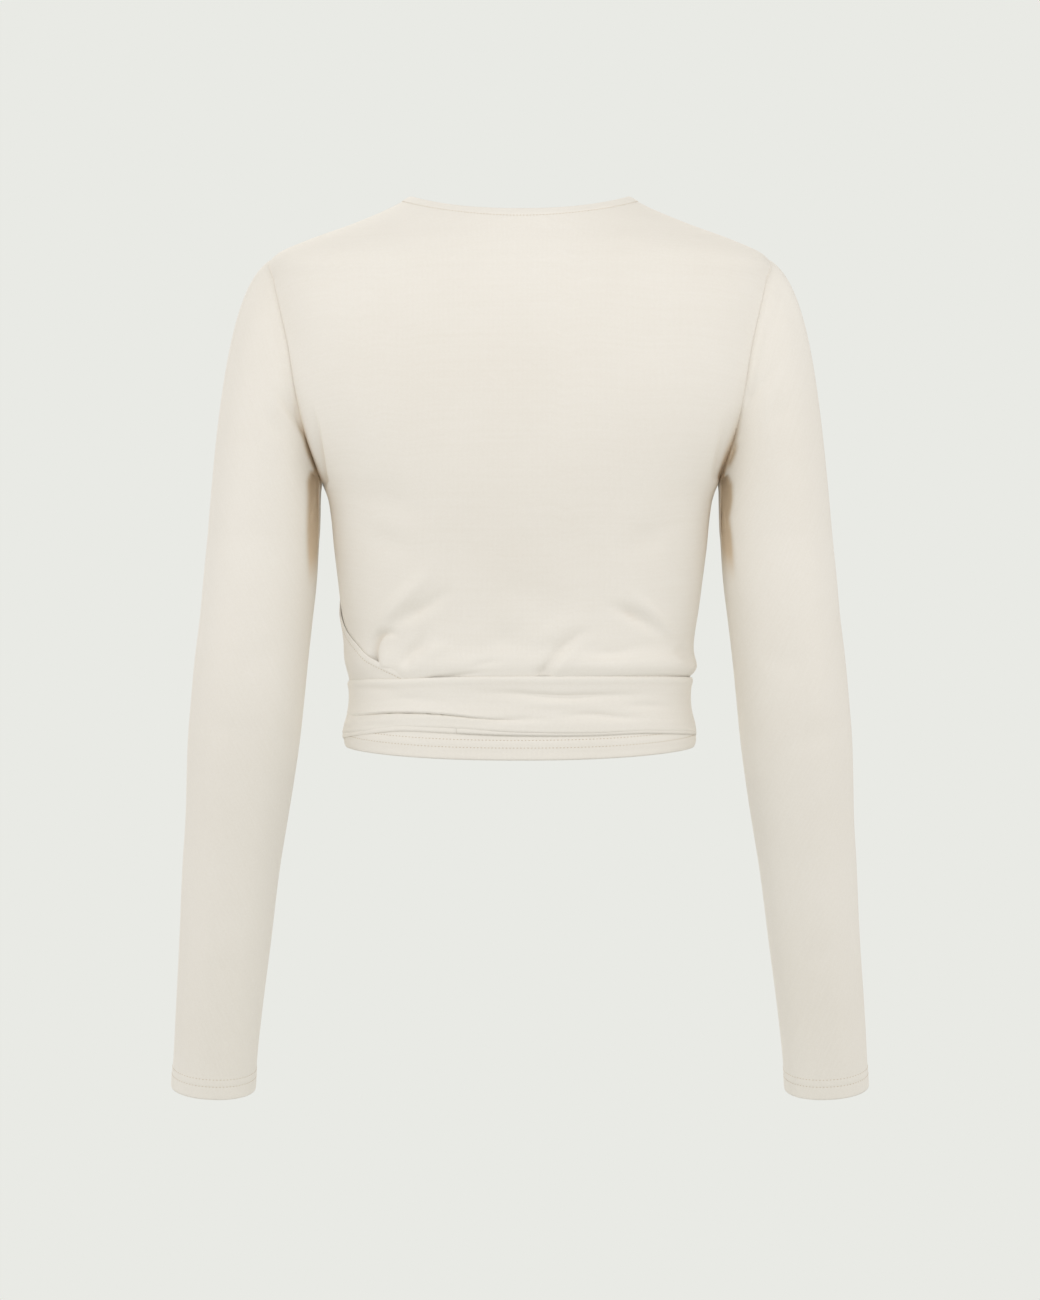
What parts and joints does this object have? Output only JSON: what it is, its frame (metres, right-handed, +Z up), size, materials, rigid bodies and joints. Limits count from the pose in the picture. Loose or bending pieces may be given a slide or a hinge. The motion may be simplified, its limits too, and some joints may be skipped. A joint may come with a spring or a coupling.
{
  "type": "wrap top",
  "caption": "Cropped long-sleeved wrap top in light jersey, fronts crossed and a wide tie wound round the waist, in worn form.",
  "frame": {"origin": "midway between the two neck points, where the shoulder seams meet the neck edge", "axes": "+Z up, -Y the way the front faces, +X towards the wearer's left"},
  "size_m": [0.5246, 0.2266, 0.6703],
  "materials": {
    "jersey_back": "fine cream jersey, soft matte",
    "jersey_front": "fine cream jersey, soft matte",
    "jersey_sleeve": "fine cream jersey, soft matte",
    "jersey_tie": "fine cream jersey, soft matte"
  },
  "bodies": {
    "root": {"back_panel": "jersey_back", "front_right": "jersey_front", "front_left": "jersey_front", "sleeve_left": "jersey_sleeve", "sleeve_right": "jersey_sleeve", "tie_under": "jersey_tie", "tie_sash": "jersey_tie", "tie_knot": "jersey_tie", "tie_tail": "jersey_tie"}
  },
  "joints": []
}
